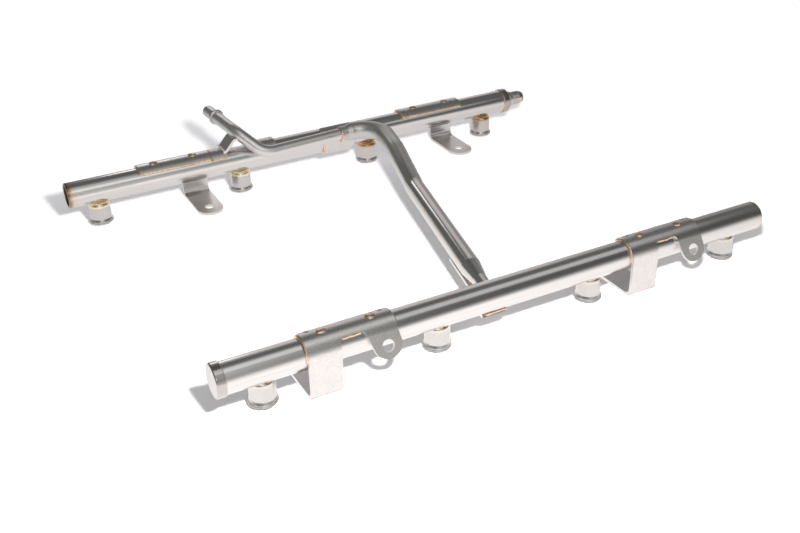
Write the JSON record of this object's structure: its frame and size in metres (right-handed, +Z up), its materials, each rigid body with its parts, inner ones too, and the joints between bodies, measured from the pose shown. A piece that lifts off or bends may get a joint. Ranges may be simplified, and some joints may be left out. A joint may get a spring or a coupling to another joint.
{
  "type": "fuel rail",
  "caption": "Twin-tube fuel rail for a V8 engine, with injector cups, stamped brackets, a crossover tube, a beaded fuel inlet and a service port.",
  "frame": {"origin": "midway between the two foot holes of the near rail, on the underside of the feet", "axes": "+X along the rails towards the service port, +Y from the near rail to the far rail, +Z up"},
  "size_m": [0.4047, 0.3457, 0.0563],
  "materials": {
    "stainless_tube": "satin drawn stainless tube, brushed along its length",
    "stainless_cup": "satin drawn stainless, heat tinted by brazing",
    "stamped_steel": "matt tumbled stainless stamping",
    "cap_steel": "satin drawn stainless cap",
    "fitting_steel": "turned stainless fitting",
    "brass": "turned brass",
    "spring_steel": "drawn spring wire",
    "core_seal": "white seal plastic",
    "pin_rubber": "black rubber"
  },
  "bodies": {
    "rail": {"rail_tube_near": "stainless_tube", "injector_cup_near_1": "stainless_cup", "injector_cup_near_2": "stainless_cup", "injector_cup_near_3": "stainless_cup", "injector_cup_near_4": "stainless_cup", "bracket_near_left": "stamped_steel", "bracket_near_right": "stamped_steel", "end_cap_near": "cap_steel", "end_plug_near": "cap_steel", "rail_tube_far": "stainless_tube", "injector_cup_far_1": "stainless_cup", "injector_cup_far_2": "stainless_cup", "injector_cup_far_3": "stainless_cup", "injector_cup_far_4": "stainless_cup", "bracket_far_left": "stamped_steel", "bracket_far_right": "stamped_steel", "end_cap_far": "cap_steel", "end_plug_far": "cap_steel", "crossover_tube": "stainless_tube", "inlet_tube": "stainless_tube", "inlet_bridge": "stamped_steel", "crossover_saddle": "stamped_steel", "crossover_brace": "stamped_steel", "service_port": "fitting_steel", "valve_core_body": "brass", "valve_core_seal": "core_seal", "valve_spring": "spring_steel"},
    "valve_pin": {"valve_pin": "brass", "valve_pin_seal": "pin_rubber"}
  },
  "joints": [
    {"name": "valve_pin_press", "type": "slide", "parent": "rail", "child": "valve_pin", "axis": [-1, 0, 0], "range_m": [0, 0.0012], "stiffness_N_per_m": 400, "springref_m": -0.0008, "deforming": ["valve_spring"]}
  ]
}
